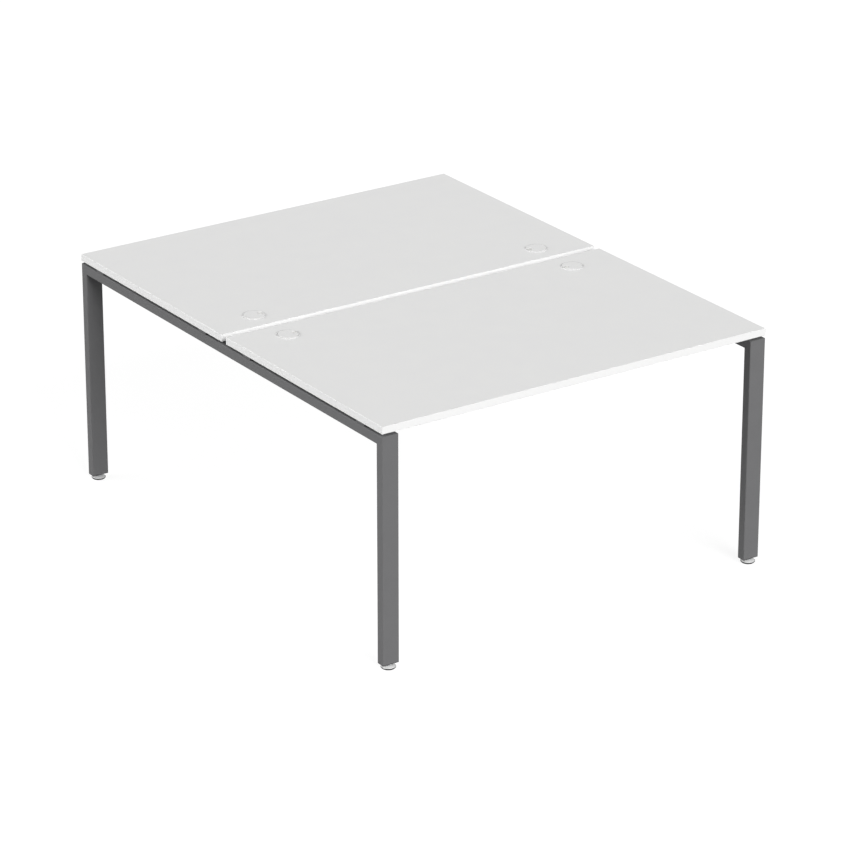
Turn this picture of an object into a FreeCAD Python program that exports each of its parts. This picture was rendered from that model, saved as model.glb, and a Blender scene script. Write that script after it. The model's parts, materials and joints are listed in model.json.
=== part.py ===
import FreeCAD, Part
import math
import os
import re

import Sketcher

# Two-place bench desk: two worktops face to face on two welded goalpost end frames.
# Frame: origin on the floor under the desk's centre, +X to the right, +Y to the rear, +Z up. Millimetres.

# Driving sizes
SIZES = {
    "desk_width": 1350,         # along X, edge bands included
    "desk_height": 750,         # floor to work surface
    "top_depth": 825,           # one worktop along Y, edge bands included
    "top_thick": 22,
    "centre_gap": 25,           # between the two worktops
    "band_thick": 2,
    "band_arris": 1,            # rounding along the band's outer edges
    "tube_wide": 55,            # end-frame tube along X
    "tube_deep": 30,            # end-frame tube in the plane of the frame
    "tube_wall": 2,
    "tube_corner": 3,
    "spacer_high": 8,           # shadow gap under the worktops
    "spacer_long": 42,
    "spacer_inset": 112,        # spacer centre from the worktop's edge
    "spacer_corner": 1.5,
    "rail_wide": 50,            # rail tube along Y
    "rail_high": 30,
    "rail_wall": 2,
    "rail_corner": 3,
    "rail_screw_pitch": 400,
    "plate_thick": 5,           # plate welded on the rail's end
    "plate_top_gap": 1,
    "bolt_dia": 8,
    "bolt_edge": 12,            # bolt centre to the plate's edge
    "bolt_offset": 17,          # bolt centre from the rail's side
    "bolt_hole_room": 0.5,
    "bolt_head_across": 13,
    "bolt_head_high": 5.3,
    "bolt_flange_dia": 17,
    "bolt_flange_thick": 1.5,
    "bolt_spare": 2,            # bolt past the rivet nut's end
    "rivet_dia": 11,
    "rivet_long": 16,
    "rivet_bulge_dia": 15,
    "rivet_bulge_thick": 3,
    "rivet_room": 0.1,
    "screw_dia": 4.8,           # wood screw into the worktop
    "screw_head_dia": 9.5,
    "screw_head_thick": 3,
    "screw_cover": 6,           # board left above the screw's tip
    "screw_room": 0.35,         # round the screw's shank in tube and spacer
    "driver_room": 1.25,        # round the screw's head in the hole that it goes in by
    "pilot_room": 0.1,
    "pilot_spare": 0.5,
    "grommet_inset_side": 163,  # grommet centre from the worktop's side
    "grommet_inset_edge": 82,   # grommet centre from the worktop's inner edge
    "ring_room": 0.2,
    "ring_wall": 2.2,
    "ring_long": 18,
    "ring_flange_dia": 70,
    "ring_cover": 5,            # flange past the edge of the worktop's hole
    "ring_lip": 3.5,
    "ring_ledge": 0.9,
    "ring_round": 1.2,
    "cap_thick": 1.6,
    "cap_room": 0.3,
    "cap_skirt_wall": 1.6,
    "cap_skirt_long": 6,
    "notch_wide": 18,           # cable notch in the cap
    "notch_deep": 18,
    "foot_high": 16,            # floor to the leg's underside, wound right in
    "foot_travel": 15,
    "pad_dia": 40,
    "pad_thick": 3,
    "pad_chamfer": 1,
    "base_dia": 44,
    "base_rim": 2.5,
    "base_high": 6.5,
    "base_neck_dia": 22,
    "base_round": 0.8,
    "stud_dia": 8,
    "stud_tip": 1,              # chamfer on the thread's end
    "stud_spare": 2,            # thread past the nut at full travel
    "journal_dia": 10,          # plain bearing of the stud in the base
    "journal_fit": 0.05,
    "head_dia": 15,             # head that keeps the stud in the base
    "head_thick": 1.8,
    "head_play": 0.2,
    "collar_across": 13,        # spanner flats of the stud
    "thrust_gap": 0.2,
    "plug_flange": 2,
    "plug_long": 26,
    "plug_room": 0.1,
    "plug_bore_room": 0.5,
    "nut_across": 13,
    "nut_high": 6.5,
    "nut_room": 0.1,
    "nut_sink": 0.5,            # nut top below the plug's top
    "thread_fit": 0.05,
    "cut_margin": 5,            # how far cutting outlines run past the solid
    "round_share": 0.6,         # most of a wall that a rounding takes
    "bend_share": 0.25,         # least inner corner of a tube, in walls
}

# Sizes worked out from the driving ones
WORKED_OUT = {
    "desk_depth": "2 * top_depth + centre_gap",
    "underside": "desk_height - top_thick",
    "frame_top": "underside - spacer_high",
    "top_centre": "(centre_gap + top_depth) / 2",
    "board_wide": "desk_width - 2 * band_thick",
    "board_deep": "top_depth - 2 * band_thick",
    "arris": "min(band_arris; round_share * band_thick)",
    "inner_corner": "max(tube_corner - tube_wall; bend_share * tube_wall)",
    "rail_inner_corner": "max(rail_corner - rail_wall; bend_share * rail_wall)",
    "leg_bottom": "foot_high + plug_flange",
    "leg_long": "frame_top - leg_bottom",
    "leg_x": "(desk_width - tube_wide) / 2",
    "leg_y": "(desk_depth - tube_deep) / 2",
    "inner_face": "desk_width / 2 - tube_wide",
    "spacer_reach": "top_depth / 2 - spacer_inset",
    "rail_end": "inner_face - plate_thick",
    "bolt_reach": "rail_wide / 2 + bolt_offset",
    "bolt_level": "frame_top - tube_deep / 2",
    "bolt_long": "plate_thick + rivet_long + bolt_spare",
    "plate_low": "bolt_level - bolt_edge",
    "plate_high": "underside - plate_top_gap - plate_low",
    "screw_bite": "top_thick - screw_cover",
    "spacer_screw_long": "tube_wall + spacer_high + screw_bite",
    "rail_screw_long": "rail_wall + screw_bite",
    "pilot_dia": "screw_dia + 2 * pilot_room",
    "screw_hole_dia": "screw_dia + 2 * screw_room",
    "access_hole_dia": "screw_head_dia + 2 * driver_room",
    "pilot_deep": "screw_bite + pilot_spare",
    "grommet_x": "desk_width / 2 - grommet_inset_side",
    "grommet_reach": "top_depth / 2 - grommet_inset_edge",
    "grommet_hole_dia": "ring_flange_dia - 2 * ring_cover",
    "ring_bore": "grommet_hole_dia / 2 - ring_room - ring_wall",
    "ring_outer": "grommet_hole_dia / 2 - ring_room",
    "ring_flange": "ring_flange_dia / 2",
    "ring_recess": "ring_flange - ring_lip",
    "ring_high": "ring_ledge + cap_thick",
    "cap_rim": "ring_recess - cap_room",
    "skirt_outer": "ring_bore - cap_room",
    "skirt_inner": "skirt_outer - cap_skirt_wall",
    "notch_end": "cap_rim - notch_deep + notch_wide / 2",
    "collar_low": "base_high + thrust_gap",
    "collar_high": "foot_high - pad_thick - base_high - 2 * thrust_gap",
    "journal_low": "head_play + head_thick",
    "socket_deep": "journal_low + head_play",
    "stud_top": "collar_low + collar_high + thrust_gap + plug_flange + plug_long + foot_travel + stud_spare",
    "plug_top": "plug_flange + plug_long",
    "nut_low": "plug_top - nut_sink - nut_high",
}

# Corner name, side along X, side along Y
CORNERS = [
    ("front_left", -1, -1),
    ("front_right", 1, -1),
    ("rear_left", -1, 1),
    ("rear_right", 1, 1),
]
SIDES = [("left", -1), ("right", 1)]
TOPS = [("front", -1), ("rear", 1)]
HALF_TURN = 180
QUARTER_TURN = 90
X_AXIS, Y_AXIS, Z_AXIS = range(3)
HEXAGON_SIDES = 6
SAME_LENGTH = 1e-4
OUT_OF_LINE = 1e-3

doc = FreeCAD.newDocument("bench_desk")
sheet = doc.addObject("Spreadsheet::Sheet", "Sizes")
cells = {name: str(value) for name, value in SIZES.items()}
cells.update({name: "=" + text for name, text in WORKED_OUT.items()})
for row, (name, text) in enumerate(cells.items(), start=1):
    sheet.set(f"A{row}", name)
    sheet.set(f"B{row}", text)
    sheet.setAlias(f"B{row}", name)
doc.recompute()

nodes = []


def formula(text):
    """The text as an expression, with each size's name pointing at its cell."""
    return re.sub(r"[a-z_]+", lambda m: f"Sizes.{m.group()}" if m.group() in cells else m.group(), text)


def value(text):
    """The number that an expression gives now."""
    return float(sheet.evalExpression(text))


def side_of(sign, text):
    """The expression on the given side of the middle."""
    return f"{sign} * ({text})"


def bind(thing, **sizes):
    """Ties an object's properties to expressions."""
    for name, text in sizes.items():
        thing.setExpression(name, formula(text))


def place(thing, x="0", y="0", z="0", axis=(0, 0, 1), turn=0):
    """Turns an object about an axis through its own origin, then moves it there."""
    thing.Placement = FreeCAD.Placement(FreeCAD.Vector(), FreeCAD.Rotation(FreeCAD.Vector(*axis), turn))
    for letter, text in zip("xyz", (x, y, z)):
        thing.setExpression(f"Placement.Base.{letter}", formula(text))
    return thing


def node(thing, label):
    """Names an object as a sub-part that is written out."""
    thing.Label = label
    nodes.append(thing)
    return thing


def new_body(label):
    """An empty body."""
    return doc.addObject("PartDesign::Body", label)


def sketch_on(body, role, height="0"):
    """An empty sketch on one of the body's own planes, lifted along its normal."""
    plane = next(feature for feature in body.Origin.OriginFeatures if feature.Role == role)
    sketch = body.newObject("Sketcher::SketchObject", f"{body.Name}_sketch")
    sketch.AttachmentSupport = [(plane, "")]
    sketch.MapMode = "FlatFace"
    sketch.setExpression("AttachmentOffset.Base.z", formula(height))
    return sketch


def hold(sketch, kind, text, *where):
    """Adds a dimension whose value follows an expression."""
    index = sketch.addConstraint(Sketcher.Constraint(kind, *where, value(text)))
    sketch.setExpression(f"Constraints[{index}]", formula(text))


def hold_point(sketch, geometry, end, x, y):
    """Fixes a point of the sketch at two expressions, measured from the sketch's origin."""
    hold(sketch, "DistanceX", x, -1, 1, geometry, end)
    hold(sketch, "DistanceY", y, -1, 1, geometry, end)


def polygon(sketch, corners):
    """A closed outline of straight lines through corners given as pairs of expressions."""
    points = [FreeCAD.Vector(value(x), value(y), 0) for x, y in corners]
    first = sketch.GeometryCount
    for start, end in zip(points, points[1:] + points[:1]):
        sketch.addGeometry(Part.LineSegment(start, end))
    for index, (x, y) in enumerate(corners):
        line = first + index
        after = first + (index + 1) % len(corners)
        sketch.addConstraint(Sketcher.Constraint("Coincident", line, 2, after, 1))
        hold_point(sketch, line, 1, x, y)


def rectangle(sketch, low, high):
    """An upright rectangle between two corners."""
    polygon(sketch, [low, (high[0], low[1]), high, (low[0], high[1])])


def centred_rectangle(sketch, wide, deep):
    """An upright rectangle about the sketch's origin."""
    rectangle(sketch, (f"-({wide}) / 2", f"-({deep}) / 2"), (f"({wide}) / 2", f"({deep}) / 2"))


def hexagon(sketch, across):
    """A regular hexagon about the sketch's origin, given across its flats."""
    corners = []
    reach = 0.5 / math.cos(math.pi / HEXAGON_SIDES)
    for index in range(HEXAGON_SIDES):
        angle = 2 * math.pi * index / HEXAGON_SIDES
        corners.append((f"{reach * math.cos(angle)} * ({across})", f"{reach * math.sin(angle)} * ({across})"))
    polygon(sketch, corners)


def circle(sketch, dia, x="0", y="0"):
    """A circle of a given diameter."""
    centre = FreeCAD.Vector(value(x), value(y), 0)
    index = sketch.addGeometry(Part.Circle(centre, FreeCAD.Vector(0, 0, 1), value(dia) / 2))
    hold(sketch, "Diameter", dia, index)
    hold_point(sketch, index, 3, x, y)


def pad(body, sketch, length, symmetric=False):
    """Thickens a sketch along its normal."""
    feature = body.newObject("PartDesign::Pad", f"{body.Name}_pad")
    feature.Profile = sketch
    feature.SideType = "Symmetric" if symmetric else "One side"
    bind(feature, Length=length)
    doc.recompute()
    return feature


def pocket(body, sketch, depth=None, upward=False):
    """Cuts a sketch into the body, to a depth or right through both ways, and checks that it cut."""
    before = body.Shape.Volume
    feature = body.newObject("PartDesign::Pocket", f"{body.Name}_pocket")
    feature.Profile = sketch
    if depth is None:
        feature.Type = "ThroughAll"
        feature.SideType = "Symmetric"
    else:
        feature.Reversed = upward
        bind(feature, Length=depth)
    doc.recompute()
    if not body.Shape.Volume < before:
        raise RuntimeError(f"a pocket of {body.Name} cuts nothing")
    return feature


def revolve(body, profile):
    """Turns a closed profile of (radius, height) corners about the body's Z axis."""
    sketch = sketch_on(body, "XZ_Plane")
    polygon(sketch, profile)
    feature = body.newObject("PartDesign::Revolution", f"{body.Name}_revolution")
    feature.Profile = sketch
    feature.ReferenceAxis = (sketch, ["V_Axis"])
    doc.recompute()
    return feature


def round_edges(body, keep, radius):
    """Rounds the edges of the body's last feature that a test keeps."""
    feature = body.Tip
    names = [f"Edge{index}" for index, edge in enumerate(feature.Shape.Edges, start=1) if keep(edge)]
    if not names:
        raise RuntimeError(f"no edge of {body.Name} to round")
    fillet = body.newObject("PartDesign::Fillet", f"{body.Name}_fillet")
    fillet.Base = (feature, names)
    bind(fillet, Radius=radius)
    doc.recompute()
    return fillet


def runs_along(edge, axis):
    """Whether an edge is straight and lies along an axis given by its index."""
    if not isinstance(edge.Curve, Part.Line):
        return False
    return 1 - abs(edge.Curve.Direction[axis]) < OUT_OF_LINE


def near(first, second):
    """Whether two lengths are the same."""
    return abs(first - second) < SAME_LENGTH


def side_edge(edge, along, across, reach):
    """Whether an edge runs along one axis, at a distance from the middle on another."""
    return runs_along(edge, along) and near(abs(edge.CenterOfMass[across]), reach)


def ring_edge(edge, dia, height):
    """Whether an edge is a circle of a diameter, about the Z axis, at a height."""
    if not isinstance(edge.Curve, Part.Circle):
        return False
    return near(2 * edge.Curve.Radius, dia) and near(edge.Curve.Center.z, height)


# Worktops

def worktop_board(label, side):
    """Laminated board with cable holes and blind pilot holes; drawn as the front one, on its underside."""
    body = new_body(label)
    outline = sketch_on(body, "XY_Plane")
    centred_rectangle(outline, "board_wide", "board_deep")
    pad(body, outline, "top_thick")
    cable_holes = sketch_on(body, "XY_Plane")
    pilots = sketch_on(body, "XY_Plane")
    for _, across in SIDES:
        circle(cable_holes, "grommet_hole_dia", side_of(across, "grommet_x"), "grommet_reach")
        for along in (-1, 1):
            circle(pilots, "pilot_dia", side_of(across, "leg_x"), side_of(along, "spacer_reach"))
    for step in (-1, 0, 1):
        circle(pilots, "pilot_dia", side_of(step, "rail_screw_pitch"))
    pocket(body, cable_holes)
    pocket(body, pilots, "pilot_deep", upward=True)
    turn = 0 if side < 0 else HALF_TURN
    return place(node(body, label), y=side_of(side, "top_centre"), z="underside", turn=turn)


def edge_band(label, long, x, y, turn):
    """Strip glued on a board's edge, with both outer edges rounded; drawn with its outer face on -Y."""
    body = new_body(label)
    outline = sketch_on(body, "XY_Plane")
    rectangle(outline, (f"-({long}) / 2", "0"), (f"({long}) / 2", "band_thick"))
    pad(body, outline, "top_thick")
    round_edges(body, lambda edge: side_edge(edge, X_AXIS, Y_AXIS, 0), "arris")
    return place(node(body, label), x, y, "underside", turn=turn)


for top_name, top_side in TOPS:
    worktop_board(f"{top_name}_desktop_panel", top_side)
    centre = side_of(top_side, "top_centre")
    edge_band(f"{top_name}_top_band_front", "desk_width", "0", f"{centre} - top_depth / 2", 0)
    edge_band(f"{top_name}_top_band_rear", "desk_width", "0", f"{centre} + top_depth / 2", HALF_TURN)
    edge_band(f"{top_name}_top_band_left", "board_deep", "-desk_width / 2", centre, -QUARTER_TURN)
    edge_band(f"{top_name}_top_band_right", "board_deep", "desk_width / 2", centre, QUARTER_TURN)


# End frames

def mitre_leg(label, x_side, y_side):
    """Hollow leg with a mitred top; drawn as a front leg, on its open bottom, outer face on y 0."""
    body = new_body(label)
    outline = sketch_on(body, "XY_Plane")
    rectangle(outline, ("-tube_wide / 2", "0"), ("tube_wide / 2", "tube_deep"))
    rectangle(
        outline,
        ("-tube_wide / 2 + tube_wall", "tube_wall"),
        ("tube_wide / 2 - tube_wall", "tube_deep - tube_wall"),
    )
    pad(body, outline, "leg_long")
    half_wide = value("tube_wide / 2")
    round_edges(body, lambda edge: side_edge(edge, Z_AXIS, X_AXIS, half_wide), "tube_corner")
    half_bore = value("tube_wide / 2 - tube_wall")
    round_edges(body, lambda edge: side_edge(edge, Z_AXIS, X_AXIS, half_bore), "inner_corner")
    mitre = sketch_on(body, "YZ_Plane")
    polygon(
        mitre,
        [
            ("-cut_margin", "leg_long + cut_margin"),
            ("tube_deep + cut_margin", "leg_long - tube_deep - cut_margin"),
            ("tube_deep + cut_margin", "leg_long + cut_margin"),
        ],
    )
    pocket(body, mitre)
    turn = 0 if y_side < 0 else HALF_TURN
    node(body, label)
    return place(body, side_of(x_side, "leg_x"), side_of(y_side, "desk_depth / 2"), "leg_bottom", turn=turn)


def crossbar(label, side):
    """Hollow bar with mitred ends; drawn as the left one, its top on z 0 and its inner face on +X."""
    body = new_body(label)
    outline = sketch_on(body, "XZ_Plane")
    rectangle(outline, ("-tube_wide / 2", "-tube_deep"), ("tube_wide / 2", "0"))
    rectangle(
        outline,
        ("-tube_wide / 2 + tube_wall", "-tube_deep + tube_wall"),
        ("tube_wide / 2 - tube_wall", "-tube_wall"),
    )
    pad(body, outline, "desk_depth", symmetric=True)
    half_wide = value("tube_wide / 2")
    round_edges(body, lambda edge: side_edge(edge, Y_AXIS, X_AXIS, half_wide), "tube_corner")
    half_bore = value("tube_wide / 2 - tube_wall")
    round_edges(body, lambda edge: side_edge(edge, Y_AXIS, X_AXIS, half_bore), "inner_corner")
    mitres = sketch_on(body, "YZ_Plane")
    screw_holes = sketch_on(body, "XY_Plane")
    access_holes = sketch_on(body, "XY_Plane", "-tube_deep")
    rivet_holes = sketch_on(body, "YZ_Plane", "tube_wide / 2")
    for along in (-1, 1):
        polygon(
            mitres,
            [
                (side_of(along, "desk_depth / 2 + cut_margin"), "cut_margin"),
                (side_of(along, "desk_depth / 2 + cut_margin"), "-tube_deep - cut_margin"),
                (side_of(along, "desk_depth / 2 - tube_deep - cut_margin"), "-tube_deep - cut_margin"),
            ],
        )
        for inner in (-1, 1):
            spot = f"{side_of(along, 'top_centre')} + {side_of(inner, 'spacer_reach')}"
            circle(screw_holes, "screw_hole_dia", y=spot)
            circle(access_holes, "access_hole_dia", y=spot)
            bolt = f"{side_of(along, 'top_centre')} + {side_of(inner, 'bolt_reach')}"
            circle(rivet_holes, "rivet_dia + 2 * rivet_room", bolt, "-tube_deep / 2")
    pocket(body, mitres)
    pocket(body, screw_holes, "tube_wall")
    pocket(body, access_holes, "tube_wall", upward=True)
    pocket(body, rivet_holes, "tube_wall")
    turn = 0 if side < 0 else HALF_TURN
    return place(node(body, label), side_of(side, "leg_x"), z="frame_top", turn=turn)


def spacer(label, x_side, y):
    """Block between crossbar and worktop, with its screw hole."""
    body = new_body(label)
    outline = sketch_on(body, "XY_Plane")
    centred_rectangle(outline, "tube_wide", "spacer_long")
    circle(outline, "screw_hole_dia")
    pad(body, outline, "spacer_high")
    half_wide = value("tube_wide / 2")
    round_edges(body, lambda edge: side_edge(edge, Z_AXIS, X_AXIS, half_wide), "spacer_corner")
    return place(node(body, label), side_of(x_side, "leg_x"), y, "frame_top")


for corner, across, along in CORNERS:
    mitre_leg(f"leg_{corner}", across, along)
for side_name, across in SIDES:
    crossbar(f"crossbar_{side_name}", across)
    for top_name, along in TOPS:
        for spot_name, reach in (("outer", along), ("inner", -along)):
            spot = f"{side_of(along, 'top_centre')} + {side_of(reach, 'spacer_reach')}"
            spacer(f"spacer_{side_name}_{top_name}_{spot_name}", across, spot)


# Rails

def rail(label, side):
    """Hollow rail along X under the middle of a worktop, its top on z 0."""
    body = new_body(label)
    outline = sketch_on(body, "YZ_Plane")
    rectangle(outline, ("-rail_wide / 2", "-rail_high"), ("rail_wide / 2", "0"))
    rectangle(
        outline,
        ("-rail_wide / 2 + rail_wall", "-rail_high + rail_wall"),
        ("rail_wide / 2 - rail_wall", "-rail_wall"),
    )
    pad(body, outline, "2 * rail_end", symmetric=True)
    half_wide = value("rail_wide / 2")
    round_edges(body, lambda edge: side_edge(edge, X_AXIS, Y_AXIS, half_wide), "rail_corner")
    half_bore = value("rail_wide / 2 - rail_wall")
    round_edges(body, lambda edge: side_edge(edge, X_AXIS, Y_AXIS, half_bore), "rail_inner_corner")
    screw_holes = sketch_on(body, "XY_Plane")
    access_holes = sketch_on(body, "XY_Plane", "-rail_high")
    for step in (-1, 0, 1):
        circle(screw_holes, "screw_hole_dia", side_of(step, "rail_screw_pitch"))
        circle(access_holes, "access_hole_dia", side_of(step, "rail_screw_pitch"))
    pocket(body, screw_holes, "rail_wall")
    pocket(body, access_holes, "rail_wall", upward=True)
    return place(node(body, label), y=side_of(side, "top_centre"), z="underside")


def rail_end_plate(label, x_side, y_side):
    """Plate that closes a rail's end and bolts to the crossbar; drawn from its lower edge, as on the left."""
    body = new_body(label)
    outline = sketch_on(body, "YZ_Plane")
    half_wide = "(bolt_reach + bolt_edge)"
    rectangle(outline, (f"-{half_wide}", "0"), (half_wide, "plate_high"))
    for hole_side in (-1, 1):
        circle(outline, "bolt_dia + 2 * bolt_hole_room", side_of(hole_side, "bolt_reach"), "bolt_edge")
    pad(body, outline, "plate_thick")
    x = "-inner_face" if x_side < 0 else "rail_end"
    return place(node(body, label), x, side_of(y_side, "top_centre"), "plate_low")


for top_name, along in TOPS:
    rail(f"rail_{top_name}", along)
for corner, across, along in CORNERS:
    rail_end_plate(f"rail_end_plate_{corner}", across, along)


# Fasteners: one master of each kind, repeated into a group of separate solids

def wood_screw(label, long):
    """Pan-head screw that points up, with the seat of its head on z 0."""
    body = new_body(label)
    revolve(
        body,
        [
            ("0", "-screw_head_thick"),
            ("screw_head_dia / 2", "-screw_head_thick"),
            ("screw_head_dia / 2", "0"),
            ("screw_dia / 2", "0"),
            ("screw_dia / 2", f"{long} - screw_dia / 2"),
            ("0", long),
        ],
    )
    return body


def flange_bolt(label):
    """Hexagon flange bolt that points up, with the seat of its flange on z 0."""
    body = new_body(label)
    revolve(
        body,
        [
            ("0", "-bolt_flange_thick"),
            ("bolt_flange_dia / 2", "-bolt_flange_thick"),
            ("bolt_flange_dia / 2", "0"),
            ("bolt_dia / 2", "0"),
            ("bolt_dia / 2", "bolt_long"),
            ("0", "bolt_long"),
        ],
    )
    head = sketch_on(body, "XY_Plane", "-bolt_head_high")
    hexagon(head, "bolt_head_across")
    pad(body, head, "bolt_head_high")
    return body


def rivet_nut(label):
    """Rivet nut that points up, flush with the wall it is set in, with its bulge behind that wall."""
    body = new_body(label)
    bore = "bolt_dia / 2 + thread_fit"
    revolve(
        body,
        [
            (bore, "0"),
            ("rivet_dia / 2", "0"),
            ("rivet_dia / 2", "tube_wall"),
            ("rivet_bulge_dia / 2", "tube_wall"),
            ("rivet_bulge_dia / 2", "tube_wall + rivet_bulge_thick"),
            ("rivet_dia / 2", "tube_wall + rivet_bulge_thick"),
            ("rivet_dia / 2", "rivet_long"),
            (bore, "rivet_long"),
        ],
    )
    return body


def plug_nut(label):
    """Hexagon nut that the levelling stud turns in."""
    body = new_body(label)
    outline = sketch_on(body, "XY_Plane")
    hexagon(outline, "nut_across")
    circle(outline, "stud_dia + 2 * thread_fit")
    pad(body, outline, "nut_high")
    return body


def group(label, master, spots):
    """Copies of a master at the given spots, each (x, y, z, tilt about Y), as one sub-part."""
    copies = []
    for x, y, z, tilt in spots:
        copy = doc.addObject("App::Link", f"{label}_copy")
        copy.LinkedObject = master
        copies.append(place(copy, x, y, z, axis=(0, 1, 0), turn=tilt))
    whole = doc.addObject("Part::Compound", label)
    whole.Links = copies
    return node(whole, label)


spacer_screw_spots = []
bolt_spots = []
rivet_spots = []
for _, across in SIDES:
    for _, along in TOPS:
        for reach in (-1, 1):
            y = f"{side_of(along, 'top_centre')} + {side_of(reach, 'spacer_reach')}"
            spacer_screw_spots.append((side_of(across, "leg_x"), y, "frame_top - tube_wall", 0))
            y = f"{side_of(along, 'top_centre')} + {side_of(reach, 'bolt_reach')}"
            bolt_spots.append((side_of(across, "rail_end"), y, "bolt_level", across * QUARTER_TURN))
            rivet_spots.append((side_of(across, "inner_face"), y, "bolt_level", across * QUARTER_TURN))
rail_screw_spots = [
    (side_of(step, "rail_screw_pitch"), side_of(along, "top_centre"), "underside - rail_wall", 0)
    for _, along in TOPS
    for step in (-1, 0, 1)
]
plug_nut_spots = [
    (side_of(across, "leg_x"), side_of(along, "leg_y"), "foot_high + nut_low", 0)
    for _, across, along in CORNERS
]
group("spacer_screws", wood_screw("spacer_screw", "spacer_screw_long"), spacer_screw_spots)
group("rail_top_screws", wood_screw("rail_screw", "rail_screw_long"), rail_screw_spots)
group("rail_bolts", flange_bolt("rail_bolt"), bolt_spots)
group("rail_rivet_nuts", rivet_nut("rail_rivet_nut"), rivet_spots)
group("leg_plug_nuts", plug_nut("leg_plug_nut"), plug_nut_spots)


# Cable grommets

def grommet_ring(label):
    """Flanged sleeve in the worktop's hole, with a ledge for the cap; the work surface is z 0."""
    body = new_body(label)
    revolve(
        body,
        [
            ("ring_bore", "-ring_long"),
            ("ring_outer", "-ring_long"),
            ("ring_outer", "0"),
            ("ring_flange", "0"),
            ("ring_flange", "ring_high"),
            ("ring_recess", "ring_high"),
            ("ring_recess", "ring_ledge"),
            ("ring_bore", "ring_ledge"),
        ],
    )
    rim = (value("ring_flange_dia"), value("ring_high"))
    round_edges(body, lambda edge: ring_edge(edge, *rim), "min(ring_round; round_share * ring_high)")
    return body


def grommet_cap(label):
    """Round cap with a skirt and a cable notch on +X; its underside is z 0."""
    body = new_body(label)
    revolve(
        body,
        [
            ("0", "0"),
            ("skirt_inner", "0"),
            ("skirt_inner", "-cap_skirt_long"),
            ("skirt_outer", "-cap_skirt_long"),
            ("skirt_outer", "0"),
            ("cap_rim", "0"),
            ("cap_rim", "cap_thick"),
            ("0", "cap_thick"),
        ],
    )
    notch = sketch_on(body, "XY_Plane")
    rectangle(notch, ("notch_end", "-notch_wide / 2"), ("cap_rim + cut_margin", "notch_wide / 2"))
    pocket(body, notch)
    notch_round = sketch_on(body, "XY_Plane")
    circle(notch_round, "notch_wide", "notch_end")
    pocket(body, notch_round)
    return body


for corner, across, along in CORNERS:
    x = side_of(across, "grommet_x")
    y = f"{side_of(along, 'top_centre')} - {side_of(along, 'grommet_reach')}"
    facing = 0 if across < 0 else HALF_TURN
    place(node(grommet_ring(f"grommet_ring_{corner}"), f"grommet_ring_{corner}"), x, y, "desk_height")
    cap = node(grommet_cap(f"grommet_cap_{corner}"), f"grommet_cap_{corner}")
    place(cap, x, y, "desk_height + ring_ledge", turn=facing)


# Levelling feet

def leg_plug(label):
    """Plug pressed into the leg's end, with a flange under the tube and a pocket for the nut."""
    body = new_body(label)
    flange = sketch_on(body, "XY_Plane")
    centred_rectangle(flange, "tube_wide", "tube_deep")
    pad(body, flange, "plug_flange")
    round_edges(body, lambda edge: runs_along(edge, Z_AXIS), "tube_corner")
    insert = sketch_on(body, "XY_Plane", "plug_flange")
    margin = "2 * (tube_wall + plug_room)"
    centred_rectangle(insert, f"tube_wide - {margin}", f"tube_deep - {margin}")
    pad(body, insert, "plug_long")
    half_insert = value(f"(tube_wide - {margin}) / 2")
    round_edges(body, lambda edge: side_edge(edge, Z_AXIS, X_AXIS, half_insert), "inner_corner")
    bore = sketch_on(body, "XY_Plane")
    circle(bore, "stud_dia + 2 * plug_bore_room")
    pocket(body, bore)
    nut_pocket = sketch_on(body, "XY_Plane", "plug_top")
    hexagon(nut_pocket, "nut_across + 2 * nut_room")
    pocket(body, nut_pocket, "nut_sink + nut_high")
    return body


def foot_pad(label):
    """Glide under the foot."""
    body = new_body(label)
    revolve(
        body,
        [
            ("0", "0"),
            ("pad_dia / 2 - pad_chamfer", "0"),
            ("pad_dia / 2", "pad_chamfer"),
            ("pad_dia / 2", "pad_thick"),
            ("0", "pad_thick"),
        ],
    )
    return body


def foot_base(label):
    """Domed disc with a bearing for the stud, socketed from below for the stud's head."""
    body = new_body(label)
    socket = "head_dia / 2 + head_play"
    bearing = "journal_dia / 2 + journal_fit"
    revolve(
        body,
        [
            (socket, "0"),
            ("base_dia / 2", "0"),
            ("base_dia / 2", "base_rim"),
            ("base_neck_dia / 2", "base_high"),
            (bearing, "base_high"),
            (bearing, "socket_deep"),
            (socket, "socket_deep"),
        ],
    )
    rim_dia = value("base_dia")
    rim_heights = (0, value("base_rim"))
    round_edges(
        body, lambda edge: any(ring_edge(edge, rim_dia, height) for height in rim_heights), "base_round"
    )
    return body


def foot_stud(label):
    """Levelling stud: head, plain bearing, spanner flats and thread; z 0 is the base's underside."""
    body = new_body(label)
    revolve(
        body,
        [
            ("0", "head_play"),
            ("head_dia / 2", "head_play"),
            ("head_dia / 2", "journal_low"),
            ("journal_dia / 2", "journal_low"),
            ("journal_dia / 2", "collar_low"),
            ("stud_dia / 2", "collar_low"),
            ("stud_dia / 2", "stud_top - stud_tip"),
            ("stud_dia / 2 - stud_tip", "stud_top"),
            ("0", "stud_top"),
        ],
    )
    collar = sketch_on(body, "XY_Plane", "collar_low")
    hexagon(collar, "collar_across")
    pad(body, collar, "collar_high")
    return body


FOOT_PIECES = [
    ("leg_plug", leg_plug, "foot_high"),
    ("foot_pad", foot_pad, "0"),
    ("foot_base", foot_base, "pad_thick"),
    ("foot_stud", foot_stud, "pad_thick"),
]
for piece_name, make_piece, height in FOOT_PIECES:
    for corner, across, along in CORNERS:
        piece = node(make_piece(f"{piece_name}_{corner}"), f"{piece_name}_{corner}")
        place(piece, side_of(across, "leg_x"), side_of(along, "leg_y"), height)


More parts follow.
